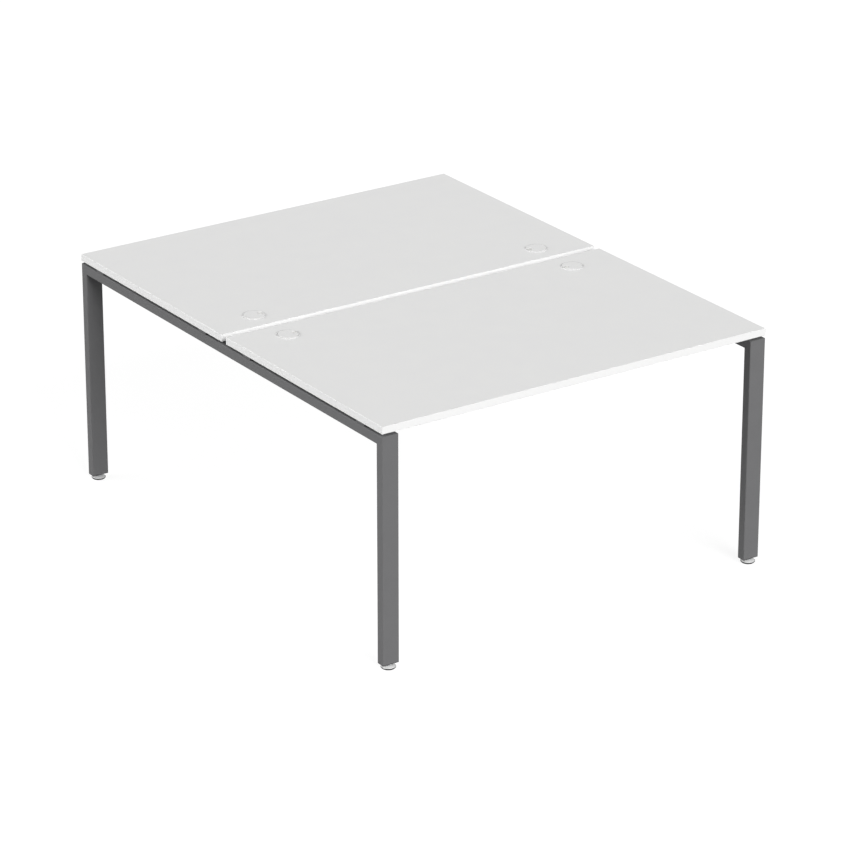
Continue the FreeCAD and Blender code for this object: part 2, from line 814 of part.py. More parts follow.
# Check and write
doc.recompute()
for thing in doc.Objects:
    if "Invalid" in thing.State or "Error" in thing.State:
        raise RuntimeError(f"{thing.Label} failed: {thing.State}")
for thing in nodes:
    if thing.Shape.isNull() or not thing.Shape.isValid():
        raise RuntimeError(f"{thing.Label} has no valid shape")
os.makedirs("parts", exist_ok=True)
for thing in nodes:
    thing.Shape.exportStep(f"parts/{thing.Label}.step")
print(f"{len(nodes)} sub-parts written")
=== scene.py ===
import json
import logging
import math
from collections.abc import Callable
from dataclasses import dataclass, field
from enum import Enum

import bmesh
import bpy
from bpy.types import ID, Material, Mesh, Node, NodeSocket, NodeTree, Object
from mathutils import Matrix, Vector


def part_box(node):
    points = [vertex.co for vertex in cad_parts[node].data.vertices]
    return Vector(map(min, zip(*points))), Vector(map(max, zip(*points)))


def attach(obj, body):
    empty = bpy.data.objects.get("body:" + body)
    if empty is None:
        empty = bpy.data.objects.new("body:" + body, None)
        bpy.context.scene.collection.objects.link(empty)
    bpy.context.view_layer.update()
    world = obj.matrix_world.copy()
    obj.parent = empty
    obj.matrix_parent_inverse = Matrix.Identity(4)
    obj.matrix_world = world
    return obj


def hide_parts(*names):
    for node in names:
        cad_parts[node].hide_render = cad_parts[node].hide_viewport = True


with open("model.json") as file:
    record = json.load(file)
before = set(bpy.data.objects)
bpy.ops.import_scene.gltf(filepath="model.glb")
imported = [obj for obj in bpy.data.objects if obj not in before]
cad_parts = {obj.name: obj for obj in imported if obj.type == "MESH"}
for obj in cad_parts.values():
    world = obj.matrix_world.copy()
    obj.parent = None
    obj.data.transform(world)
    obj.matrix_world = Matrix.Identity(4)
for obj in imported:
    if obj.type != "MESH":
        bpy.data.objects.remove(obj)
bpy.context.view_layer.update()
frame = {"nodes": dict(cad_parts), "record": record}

# Two-place bench desk: two white worktops on dark grey welded end frames, with levelling feet.
# Metres, in the part's own frame: origin on the floor under the centre, +X right, +Y rear, +Z up.

MM = 0.001
ROUND_SEGMENTS = 96  # round a lathe-turned piece
HEX_SEGMENTS = 48  # round a piece with hexagon flats, a multiple of six
HEX_CORNERS = 6
FEW_STEPS = 4  # along a short arc
ARC_STEPS = 6
MANY_STEPS = 8  # along a long one
EASED_SEGMENTS = 2  # across an eased edge
FLAT_WEIGHT = 100  # how far the large flat faces lead the shading of an eased piece
SMOOTH_ANGLE = math.radians(32)
SOFTEN_ANGLE = math.radians(35)
FLAT_ANGLE = math.radians(0.5)
SAME_POINT = 0.001 * MM
SIDES = (-1, 1)
MATHS = "ShaderNodeMath"
ORIGIN = Vector()
DRIFT_DETAIL = 3.0  # how much finer patches lie within a patch of drifted colour
LINE_STRETCH = 400  # length of an extruder's line over its width
RING_STRETCH = 60  # unbroken length of a lathe's ring over its width
log = logging.getLogger("bench_desk")

Ring = list[Vector]
Profile = list[tuple[float, float]]


class Place(Enum):
    """A place on the desk, which prints as it is spelt in the names of nodes and bodies."""

    def __str__(self) -> str:
        """The place's name there."""
        return self.name.lower()


class Row(Place):
    """The two worktops, by their side along Y."""

    FRONT = -1
    REAR = 1


class End(Place):
    """The two end frames, by their side along X."""

    LEFT = -1
    RIGHT = 1


class Corner(Place):
    """The four corners of the desk, by worktop and end frame."""

    FRONT_LEFT = (Row.FRONT, End.LEFT)
    FRONT_RIGHT = (Row.FRONT, End.RIGHT)
    REAR_LEFT = (Row.REAR, End.LEFT)
    REAR_RIGHT = (Row.REAR, End.RIGHT)

    @property
    def row(self) -> Row:
        """The worktop at the corner."""
        return self.value[0]

    @property
    def end(self) -> End:
        """The end frame at the corner."""
        return self.value[1]


class Grain(Enum):
    """How a surface's fine relief was laid, with how much finer relief lies on it."""

    PEARL = 4.0  # even, alike in every direction, as a press plate leaves it
    DRAWN = 2.0  # level lines along the piece, as an extruder leaves them
    TURNED = 1.0  # rings about the piece's own axis, as a lathe leaves them
    PEEL = 0.5  # soft rounded hills, as molten powder flows
    SPARK = 0.0  # small pits, as a spark-eroded mould leaves them


def linear(colour: str) -> tuple[float, float, float, float]:
    """Turns an sRGB hex colour to linear light.

    Args:
        colour: The colour as "#RRGGBB".

    Returns:
        Red, green, blue and a full alpha.
    """
    parts = [int(colour[start:start + 2], 16) / 255 for start in (1, 3, 5)]
    light = [part / 12.92 if part <= 0.04045 else ((part + 0.055) / 1.055) ** 2.4 for part in parts]
    return (*light, 1.0)


def add_node(
    tree: NodeTree, kind: str, inputs: dict[str | int, object] | None = None, **settings: object
) -> Node:
    """Adds a node, sets its properties, and sets or links its inputs.

    Args:
        tree: The tree that the node joins.
        kind: The node's type.
        inputs: For each input, by name or index: a value, an output socket, or a node for its first output.
        settings: The node's own properties.

    Returns:
        The new node.
    """
    made = tree.nodes.new(kind)
    for name, setting in settings.items():
        setattr(made, name, setting)
    for key, given in (inputs or {}).items():
        source = given.outputs[0] if isinstance(given, Node) else given
        if isinstance(source, NodeSocket):
            tree.links.new(source, made.inputs[key])
        else:
            made.inputs[key].default_value = source
    return made


@dataclass(frozen=True)
class Finish:
    """A real surface: what it is made of, and how it was made."""

    name: str
    colour: str  # sRGB
    drift: str  # sRGB that the colour wanders to
    drift_mm: float  # how wide the patches of that are
    roughness: tuple[float, float]  # in the grain's hollows and on its hills
    grain: Grain
    grain_mm: float  # from one hill to the next
    relief_mm: float
    metallic: float = 0.0
    ior: float = 1.5

    def height(self, tree: NodeTree, place: Node) -> NodeSocket:
        """Draws the grain.

        Args:
            tree: The material's tree.
            place: Its texture coordinates.

        Returns:
            The socket that gives the grain's height, from 0 to 1.
        """
        fine = 1 / (self.grain_mm * MM)
        source, scale = place.outputs["Object"], (fine, fine, fine)
        if self.grain is Grain.DRAWN:
            scale = (fine / LINE_STRETCH, fine / LINE_STRETCH, fine)
        elif self.grain is Grain.TURNED:
            source, scale = place.outputs["UV"], (fine / RING_STRETCH, fine, 1.0)
        laid = add_node(tree, "ShaderNodeMapping", {"Vector": source, "Scale": scale})
        relief = {"Vector": laid, "Scale": 1.0, "Detail": self.grain.value}
        kind = "ShaderNodeTexVoronoi" if self.grain is Grain.SPARK else "ShaderNodeTexNoise"
        return add_node(tree, kind, relief).outputs[0]

    def material(self) -> Material:
        """Makes the finish's material, once.

        Returns:
            The material.
        """
        if self.name in bpy.data.materials:
            return bpy.data.materials[self.name]
        made = bpy.data.materials.new(self.name)
        made.use_nodes = True
        tree = made.node_tree
        tree.nodes.clear()
        place = add_node(tree, "ShaderNodeTexCoord")
        broad = 1 / (self.drift_mm * MM)
        drift = {"Vector": place.outputs["Object"], "Scale": broad, "Detail": DRIFT_DETAIL}
        patches = add_node(tree, "ShaderNodeTexNoise", drift)
        colours = {"Factor": patches, "A": linear(self.colour), "B": linear(self.drift)}
        mixed = add_node(tree, "ShaderNodeMix", colours, data_type="RGBA")
        height = self.height(tree, place)
        low, high = self.roughness
        gloss = add_node(tree, "ShaderNodeMapRange", {"Value": height, "To Min": low, "To Max": high})
        relief = {"Height": height, "Strength": 1.0, "Distance": self.relief_mm * MM}
        bump = add_node(tree, "ShaderNodeBump", relief)
        surface = {
            "Base Color": mixed.outputs["Result"],
            "Roughness": gloss,
            "Normal": bump,
            "Metallic": self.metallic,
            "IOR": self.ior,
        }
        shader = add_node(tree, "ShaderNodeBsdfPrincipled", surface)
        add_node(tree, "ShaderNodeOutputMaterial", {"Surface": shader})
        return made


# A press plate's grain, a mould's pits, an extruder's lines and a lathe's rings are 0.1 to 0.4 mm wide on
# the real pieces. They are drawn about twice to four times as coarse, so that they show.

# Melamine laminate, pressed against an etched steel plate: an even matt white with a very fine pearl grain.
LAMINATE = Finish(
    "melamine_laminate_pressed_white", "#E9E9E8", "#E6E6E6", 70, (0.42, 0.55), Grain.PEARL, 1.4, 0.06
)
# ABS edge band, extruded: a whiter, smoother satin than the laminate, with faint lines along its length.
EDGE_BAND = Finish(
    "abs_edge_band_extruded_white", "#EEEEED", "#EBEBEB", 60, (0.30, 0.42), Grain.DRAWN, 0.5, 0.02
)
# Polyester powder coat, baked on steel tube: dark neutral grey with the soft hills of flowed powder. Its
# index is held low, because a matt coat's flattening agent takes the gleam that the resin alone would have.
POWDER_COAT = Finish(
    "polyester_powder_coat_dark_grey", "#717172", "#6C6C6D", 45, (0.50, 0.68), Grain.PEEL, 1.8, 0.14, ior=1.15
)
# Polypropylene, moulded: dull dark grey with a spark-eroded texture.
SPACER_PLASTIC = Finish(
    "polypropylene_moulded_grey", "#4E4E4F", "#48484A", 20, (0.50, 0.66), Grain.SPARK, 0.8, 0.08
)
# ABS, moulded in the worktop's white: a little smoother than the board, with a fine spark-eroded texture.
LID_PLASTIC = Finish("abs_moulded_white", "#E9E9E8", "#E5E5E5", 25, (0.40, 0.52), Grain.SPARK, 0.7, 0.05)
# ABS, moulded white, drawn greyer than the lid: the grey is painted shade, which darkens the rim's outline
# and dims the highlight on its front, so that it shows as a faint ring round the lid.
SLEEVE_PLASTIC = Finish(
    "abs_moulded_grey_white", "#D4D4D3", "#D0D0D0", 25, (0.44, 0.56), Grain.SPARK, 0.7, 0.05
)
# Polyethylene, moulded: a waxy near-black plug in the tube's end.
PLUG_PLASTIC = Finish(
    "polyethylene_moulded_black", "#2A2A2B", "#242425", 15, (0.45, 0.60), Grain.SPARK, 0.9, 0.04
)
# Chrome plate on a turned steel disc, with faint rings. Its pale near-white, which takes light from all
# round,
# is a painted reflection: most of the surface is drawn as diffuse white, not metal, in place of the white
# room.
CHROME = Finish("chrome_plate_satin", "#FAFAFA", "#F5F6F6", 30, (0.26, 0.38), Grain.TURNED, 0.4, 0.004, 0.2)
# Bright zinc plate on turned steel: soft metallic grey with rings from the lathe.
ZINC = Finish(
    "zinc_plated_steel_turned", "#C9CBCC", "#BFC2C6", 6, (0.24, 0.40), Grain.TURNED, 0.25, 0.01, 1.0
)
# Bright zinc plate on cold-headed steel: the same metal with an even grain.
ZINC_HEADED = Finish(
    "zinc_plated_steel_headed", "#C4C6C8", "#B9BDC2", 5, (0.28, 0.44), Grain.PEARL, 0.6, 0.01, 1.0
)
# Polyamide monofilament, drawn: slightly waxy white bristles.
BRISTLE = Finish(
    "polyamide_bristle_drawn_white", "#EDEDEB", "#E6E6E4", 8, (0.36, 0.50), Grain.PEARL, 0.6, 0.01
)
# Polyamide, moulded: a hard, dull and nearly black glide.
GLIDE = Finish("polyamide_moulded_black", "#202021", "#1B1B1C", 12, (0.42, 0.58), Grain.SPARK, 0.6, 0.03)

SLOT_OF_NODE: dict[str, str] = {row["node"]: row["material_slot"] for row in frame["record"]["subparts"]}


def nodes_in(slot: str) -> list[str]:
    """The names of the nodes in a material slot, sorted."""
    return sorted(node for node in frame["nodes"] if SLOT_OF_NODE[node] == slot)


def link_object(name: str, data: ID) -> Object:
    """Makes an object and puts it in the scene.

    Args:
        name: The object's name.
        data: Its mesh, light or camera.

    Returns:
        The object.
    """
    made = bpy.data.objects.new(name, data)
    bpy.context.scene.collection.objects.link(made)
    return made


def dress(piece: Object, finish: Finish) -> None:
    """Gives a piece one finish all over."""
    piece.data.materials.clear()
    piece.data.materials.append(finish.material())


def smooth(mesh: Mesh) -> None:
    """Shades a mesh smooth, apart from its real edges."""
    mesh.shade_smooth()
    mesh.set_sharp_from_angle(angle=SMOOTH_ANGLE)


def settle(piece: Object) -> Object:
    """Turns a piece's modifiers into a plain mesh.

    Args:
        piece: The piece, with its modifiers set up.

    Returns:
        The same piece, with the finished mesh and no modifier.
    """
    graph = bpy.context.evaluated_depsgraph_get()
    mesh = bpy.data.meshes.new_from_object(piece.evaluated_get(graph))
    piece.modifiers.clear()
    piece.data = mesh
    mesh.name = piece.name
    return piece


def take_over(piece: Object, body: str, node: str | None = None) -> None:
    """Puts a finished piece on its body, in place of the node that it stands for.

    Args:
        piece: The finished piece.
        body: The body that it moves with.
        node: The node that it replaces, if any.
    """
    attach(piece, body)
    if node:
        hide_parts(node)
    log.info("%s: %d faces on %s, for %s", piece.name, len(piece.data.polygons), body, node or "no node")


def stand_in(piece: Object, finish: Finish, body: str, node: str) -> None:
    """Dresses a finished piece and puts it on its body, in place of one node."""
    dress(piece, finish)
    take_over(piece, body, node)


def middle(low: Vector, high: Vector, height: float) -> Vector:
    """The middle of a box's plan, at a height."""
    return Vector(((low.x + high.x) / 2, (low.y + high.y) / 2, height))


def round_rings(profile: Profile, count: int = HEX_SEGMENTS) -> list[Ring]:
    """Points round a circle about Z, for each (radius, height) of a profile."""
    turns = [math.tau * index / count for index in range(count)]
    return [
        [Vector((radius * math.cos(turn), radius * math.sin(turn), height)) for turn in turns]
        for radius, height in profile
    ]


def hex_ring(across: float, height: float, chamfer_radius: float, fall: float) -> Ring:
    """Points round a hexagon whose corners are cut back by a cone.

    Args:
        across: The size across the flats.
        height: The height where the cone leaves the end face.
        chamfer_radius: The radius of that circle.
        fall: How far the edge falls for each metre outside the circle; negative at a lower end.

    Returns:
        The points, with one on each corner.
    """
    sector = math.tau / HEX_CORNERS
    ring = []
    for index in range(HEX_SEGMENTS):
        turn = math.tau * index / HEX_SEGMENTS
        radius = across / 2 / math.cos(turn % sector - sector / 2)
        drop = max(0.0, radius - chamfer_radius) * fall
        ring.append(Vector((radius * math.cos(turn), radius * math.sin(turn), height - drop)))
    return ring


def loft(name: str, rings: list[Ring], closed: bool = False, at: Vector = ORIGIN) -> Mesh:
    """Joins rings of points into one skin, with a UV map round and along it in metres.

    Args:
        name: The mesh's name.
        rings: The rings, from one end to the other, alike in number of points.
        closed: Whether the last ring joins the first; otherwise the ends are capped.
        at: Where the rings' own origin lies.

    Returns:
        The mesh.
    """
    shape = bmesh.new()
    layer = shape.loops.layers.uv.new("lathe")
    rows = [[shape.verts.new(point + at) for point in ring] for ring in rings]
    runs = [0.0]
    following = rings[1:] + rings[:1]
    for ring, after in zip(rings, following):
        runs.append(runs[-1] + (after[0] - ring[0]).length)
    count = len(rings[0])
    spans = len(rows) if closed else len(rows) - 1
    girth = math.tau * max(point.xy.length for ring in rings for point in ring)
    for span in range(spans):
        lower, upper = rows[span], rows[(span + 1) % len(rows)]
        for index in range(count):
            after = (index + 1) % count
            face = shape.faces.new((lower[index], lower[after], upper[after], upper[index]))
            around = (index, index + 1, index + 1, index)
            along = (span, span, span + 1, span + 1)
            for corner, turn, row in zip(face.loops, around, along):
                corner[layer].uv = (girth * turn / count, runs[row])
    if not closed:
        for row, run in ((rows[0][::-1], runs[0]), (rows[-1], runs[-2])):
            face = shape.faces.new(row)
            for corner in face.loops:
                reach = (corner.vert.co - at).xy.length
                corner[layer].uv = (0.0, run + reach)
    bmesh.ops.recalc_face_normals(shape, faces=shape.faces)
    mesh = bpy.data.meshes.new(name)
    shape.to_mesh(mesh)
    shape.free()
    smooth(mesh)
    return mesh


def turned(name: str, profile: Profile, at: Vector, closed: bool) -> Object:
    """A lathe-turned piece with its skin through (radius, height) points."""
    return link_object(name, loft(name, round_rings(profile, ROUND_SEGMENTS), closed, at))


def arc(
    centre: tuple[float, float], radius: float, start: float, end: float, steps: int = ARC_STEPS
) -> Profile:
    """Points of a profile along an arc, from one angle in degrees to another."""
    turns = (math.radians(start + (end - start) * step / steps) for step in range(steps + 1))
    return [(centre[0] + radius * math.cos(turn), centre[1] + radius * math.sin(turn)) for turn in turns]


def softened(node: str, name: str, edge: float) -> Object:
    """A copy of a node's shape with its sharp edges eased.

    Args:
        node: The node.
        name: The copy's name.
        edge: How wide the easing is.

    Returns:
        The copy, as a plain mesh.
    """
    shape = bmesh.new()
    shape.from_mesh(frame["nodes"][node].data)
    bmesh.ops.remove_doubles(shape, verts=shape.verts, dist=SAME_POINT)
    bmesh.ops.dissolve_limit(shape, angle_limit=FLAT_ANGLE, verts=shape.verts, edges=shape.edges)
    mesh = bpy.data.meshes.new(name)
    shape.to_mesh(mesh)
    shape.free()
    if "custom_normal" in mesh.attributes:
        mesh.attributes.remove(mesh.attributes["custom_normal"])
    mesh.shade_smooth()
    piece = link_object(name, mesh)
    easing = piece.modifiers.new("eased_edges", "BEVEL")
    easing.width = edge
    easing.segments = EASED_SEGMENTS
    easing.limit_method = "ANGLE"
    easing.angle_limit = SOFTEN_ANGLE
    piece.modifiers.new("flat_faces", "WEIGHTED_NORMAL").weight = FLAT_WEIGHT
    return settle(piece)


def new_tree(name: str, sizes: dict[str, str]) -> tuple[NodeTree, Node]:
    """Starts a geometry tree with a geometry input and output and named inputs.

    Args:
        name: The tree's name.
        sizes: The type of socket for each further input.

    Returns:
        The tree and its group input.
    """
    tree = bpy.data.node_groups.new(name, "GeometryNodeTree")
    tree.interface.new_socket("Geometry", in_out="INPUT", socket_type="NodeSocketGeometry")
    for size, kind in sizes.items():
        tree.interface.new_socket(size, in_out="INPUT", socket_type=kind)
    tree.interface.new_socket("Geometry", in_out="OUTPUT", socket_type="NodeSocketGeometry")
    return tree, add_node(tree, "NodeGroupInput")


def close_tree(tree: NodeTree, shape: Node, finish: Finish) -> None:
    """Ends a geometry tree: instances made real, then the finish.

    Args:
        tree: The tree.
        shape: The node that gives the finished shape.
        finish: What the shape is coated with.
    """
    real = add_node(tree, "GeometryNodeRealizeInstances", {"Geometry": shape})
    coated = add_node(tree, "GeometryNodeSetMaterial", {"Geometry": real, "Material": finish.material()})
    add_node(tree, "NodeGroupOutput", {0: coated})


def set_out(
    tree: NodeTree,
    spots: dict[str, object],
    least: object,
    most: NodeSocket,
    seed: NodeSocket,
    finish: Finish,
) -> None:
    """Ends a geometry tree: a shape set out on points, each by its own facing and a chance turn.

    Args:
        tree: The tree.
        spots: The points, the shape, and what else the node that sets it out is given.
        least: The smallest chance turn about X, Y and Z.
        most: The largest one.
        seed: The seed of the chance.
        finish: What the shapes are coated with.
    """
    named = {"Name": "facing"}
    facing = add_node(tree, "GeometryNodeInputNamedAttribute", named, data_type="FLOAT_VECTOR")
    rotation = add_node(tree, "FunctionNodeEulerToRotation", {0: facing})
    placed = add_node(tree, "GeometryNodeInstanceOnPoints", spots | {"Rotation": rotation})
    limits = {"Min": least, "Max": most, "Seed": seed}
    chance = add_node(tree, "FunctionNodeRandomValue", limits, data_type="FLOAT_VECTOR")
    spin = {"Instances": placed, "Rotation": chance, "Local Space": True}
    close_tree(tree, add_node(tree, "GeometryNodeRotateInstances", spin), finish)


def grow(name: str, seed: Mesh, tree: NodeTree, sizes: dict[str, object]) -> Object:
    """Runs a geometry tree on a mesh and keeps the result as a plain mesh.

    Args:
        name: The piece's name.
        seed: The mesh that the tree starts from.
        tree: The tree.
        sizes: A value for each of its named inputs.

    Returns:
        The piece.
    """
    piece = link_object(name, seed)
    maker = piece.modifiers.new("maker", "NODES")
    maker.node_group = tree
    for item in tree.interface.items_tree:
        if item.in_out == "INPUT" and item.name in sizes:
            maker[item.identifier] = sizes[item.name]
    settle(piece)
    smooth(piece.data)
    return piece


@dataclass
class KeptSolids:
    """Nodes of one sub-assembly whose solids have the real shape, with the finish of each material slot."""

    finish_of_slot: dict[str, Finish]

    def build(self) -> None:
        """Dresses the nodes."""
        for slot, finish in self.finish_of_slot.items():
            for name in nodes_in(slot):
                dress(frame["nodes"][name], finish)
                log.info("%s: %s", name, finish.name)


@dataclass
class Fasteners:
    """Screws or bolts of one kind: a pattern piece set out at each place, each stopped at its own angle."""

    name: str
    node: str
    seed: int
    pattern: Callable[[], Mesh]
    places: list[tuple[Vector, Vector]]  # seat, and turn about X, Y and Z

    def tree(self) -> NodeTree:
        """Makes a tree that sets the pattern piece out on points, by their own turn and a chance turn.

        Returns:
            The tree.
        """
        kinds = {"Pattern": "NodeSocketObject", "Largest turn": "NodeSocketVector", "Seed": "NodeSocketInt"}
        tree, given = new_tree(f"{self.name}_set_out", kinds)
        source, most, seed = (given.outputs[kind] for kind in kinds)
        pattern = add_node(tree, "GeometryNodeObjectInfo", {"Object": source, "As Instance": True})
        spots = {"Points": given.outputs["Geometry"], "Instance": pattern.outputs["Geometry"]}
        set_out(tree, spots, ORIGIN, most, seed, ZINC)
        return tree

    def build(self) -> None:
        """Sets the fasteners out and puts them on the desk's frame."""
        pattern = link_object(f"{self.name}_pattern", self.pattern())
        seats = bpy.data.meshes.new(f"{self.name}_seats")
        seats.from_pydata([seat for seat, _ in self.places], [], [])
        facing = seats.attributes.new("facing", "FLOAT_VECTOR", "POINT")
        facing.data.foreach_set("vector", [angle for _, turn in self.places for angle in turn])
        one_flat = Vector((0.0, 0.0, math.tau / HEX_CORNERS))
        sizes = {"Pattern": pattern, "Largest turn": one_flat, "Seed": self.seed}
        piece = grow(self.name, seats, self.tree(), sizes)
        bpy.data.objects.remove(pattern)
        take_over(piece, "frame", self.node)


@dataclass
class FlangeBolt:
    """Hexagon flange bolt that points along +Z, with its seat on z 0."""

    across: float = 13 * MM
    head_high: float = 5.3 * MM
    chamfer_radius: float = 6.1 * MM
    chamfer_fall: float = 0.577
    dish_radius: float = 4.75 * MM
    dish_deep: float = 0.25 * MM
    flange_radius: float = 8.5 * MM
    flange_root: float = 1.8 * MM  # where the flange meets the flats
    flange_edge: float = 0.5 * MM
    flange_chamfer: float = 0.4 * MM
    shank_radius: float = 4 * MM
    shank_long: float = 23 * MM
    tip: float = 1 * MM

    def mesh(self) -> Mesh:
        """Makes the bolt as one skin: dished and chamfered head, flange and shank.

        Returns:
            The mesh.
        """
        crown, rim = -self.head_high, -self.flange_edge
        dish = [
            (self.dish_radius - self.dish_deep, crown + self.dish_deep),
            (self.dish_radius, crown),
            (self.chamfer_radius, crown),
        ]
        flats = [
            hex_ring(self.across, crown, self.chamfer_radius, -self.chamfer_fall),
            hex_ring(self.across, -self.flange_root, self.across, 0.0),
        ]
        shank = [
            (self.flange_radius - self.flange_chamfer, rim - self.flange_chamfer),
            (self.flange_radius, rim),
            (self.flange_radius, 0.0),
            (self.shank_radius, 0.0),
            (self.shank_radius, self.shank_long - self.tip),
            (self.shank_radius - self.tip, self.shank_long),
        ]
        return loft("flange_bolt", round_rings(dish) + flats + round_rings(shank))


@dataclass
class WoodScrew:
    """Pan-head wood screw with a hexagon socket, pointing along +Z, with its seat on z 0."""

    long: float
    head_radius: float = 4.75 * MM
    head_thick: float = 3 * MM
    head_rounding: float = 1 * MM
    shank_radius: float = 2.4 * MM
    point_radius: float = 0.2 * MM
    socket_across: float = 4 * MM
    socket_deep: float = 1.7 * MM

    def mesh(self) -> Mesh:
        """Makes the screw as one skin, from the socket's floor to the point.

        Returns:
            The mesh.
        """
        low, bend = -self.head_thick, self.head_rounding
        across = self.socket_across
        socket = [hex_ring(across, height, across, 0.0) for height in (low + self.socket_deep, low)]
        profile = arc((self.head_radius - bend, low + bend), bend, -90, 0, FEW_STEPS)
        profile += [
            (self.head_radius, 0.0),
            (self.shank_radius, 0.0),
            (self.shank_radius, self.long - self.shank_radius),
            (self.point_radius, self.long),
        ]
        return loft("wood_screw", socket + round_rings(profile))


@dataclass
class WeldBeads:
    """Ripple-topped fillet welds, coated with the frame: in its inner corners and round the rails' ends."""

    radius: float = 2.5 * MM
    sides: int = 10
    ripple_pitch: float = 2.6 * MM
    ripple_high: float = 0.3 * MM
    ripple_steps: float = 6.0
    uneven_wide: float = 6.7 * MM  # from one uneven spot to the next
    clear_of_edge: float = 4 * MM
    rail_corner: float = 3 * MM

    def paths(self) -> list[list[Vector]]:
        """Finds the lines that the welds follow.

        Returns:
            The points of each line.
        """
        lines = []
        for corner in Corner:
            leg_low, leg_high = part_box(f"leg_{corner}")
            bar_low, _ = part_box(f"crossbar_{corner.end}")
            inner = leg_high.y if corner.row is Row.FRONT else leg_low.y
            first, last = leg_low.x + self.clear_of_edge, leg_high.x - self.clear_of_edge
            lines.append([Vector((x, inner, bar_low.z)) for x in (first, last)])
        for row in Row:
            low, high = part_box(f"rail_{row}")
            top, bend = high.z - self.clear_of_edge, self.rail_corner
            section = [
                (low.y, top),
                (low.y, low.z + bend),
                (low.y + bend, low.z),
                (high.y - bend, low.z),
                (high.y, low.z + bend),
                (high.y, top),
            ]
            lines += [[Vector((x, y, z)) for y, z in section] for x in (low.x, high.x)]
        return lines

    def tree(self) -> NodeTree:
        """Makes a tree that runs a round bead along lines and ripples it along its length.

        Returns:
            The tree.
        """
        sizes = ("Bead radius", "Ripple pitch", "Ripple height")
        tree, given = new_tree("weld_bead", {size: "NodeSocketFloat" for size in sizes})
        radius, pitch, height = (given.outputs[size] for size in sizes)
        line = add_node(tree, "GeometryNodeMeshToCurve", {"Mesh": given.outputs["Geometry"]})
        step = add_node(tree, MATHS, {0: pitch, 1: self.ripple_steps}, operation="DIVIDE")
        spaced = add_node(tree, "GeometryNodeResampleCurve", {"Curve": line, "Length": step}, mode="LENGTH")
        run = add_node(tree, "GeometryNodeSplineParameter")
        marks = {"Geometry": spaced, "Name": "run", "Value": run.outputs["Length"]}
        marked = add_node(tree, "GeometryNodeStoreNamedAttribute", marks, data_type="FLOAT", domain="POINT")
        circle = {"Resolution": self.sides, "Radius": radius}
        outline = add_node(tree, "GeometryNodeCurvePrimitiveCircle", circle)
        sweep = {"Curve": marked, "Profile Curve": outline, "Fill Caps": True}
        bead = add_node(tree, "GeometryNodeCurveToMesh", sweep)
        along = add_node(tree, "GeometryNodeInputNamedAttribute", {"Name": "run"}, data_type="FLOAT")
        ripples = add_node(tree, MATHS, {0: along, 1: pitch}, operation="DIVIDE")
        turn = add_node(tree, MATHS, {0: ripples, 1: math.tau}, operation="MULTIPLY")
        wave = add_node(tree, MATHS, {0: turn}, operation="SINE")
        uneven = add_node(tree, "ShaderNodeTexNoise", {"Scale": 1 / self.uneven_wide, "Detail": 1.0})
        centred = add_node(tree, MATHS, {0: uneven, 1: 0.5}, operation="SUBTRACT")
        lift = add_node(tree, MATHS, {0: wave, 1: centred}, operation="ADD")
        amount = add_node(tree, MATHS, {0: lift, 1: height}, operation="MULTIPLY")
        normal = add_node(tree, "GeometryNodeInputNormal")
        push = add_node(tree, "ShaderNodeVectorMath", {0: normal, "Scale": amount}, operation="SCALE")
        rippled = add_node(tree, "GeometryNodeSetPosition", {"Geometry": bead, "Offset": push})
        close_tree(tree, rippled, POWDER_COAT)
        return tree

    def build(self) -> None:
        """Lays all the welds as one piece of the frame."""
        points: list[Vector] = []
        edges: list[tuple[int, int]] = []
        for line in self.paths():
            first = len(points)
            points += line
            edges += [(first + index, first + index + 1) for index in range(len(line) - 1)]
        seed = bpy.data.meshes.new("weld_lines")
        seed.from_pydata(points, edges, [])
        sizes = {
            "Bead radius": self.radius,
            "Ripple pitch": self.ripple_pitch,
            "Ripple height": self.ripple_high,
        }
        take_over(grow("frame_weld_beads", seed, self.tree(), sizes), "frame")


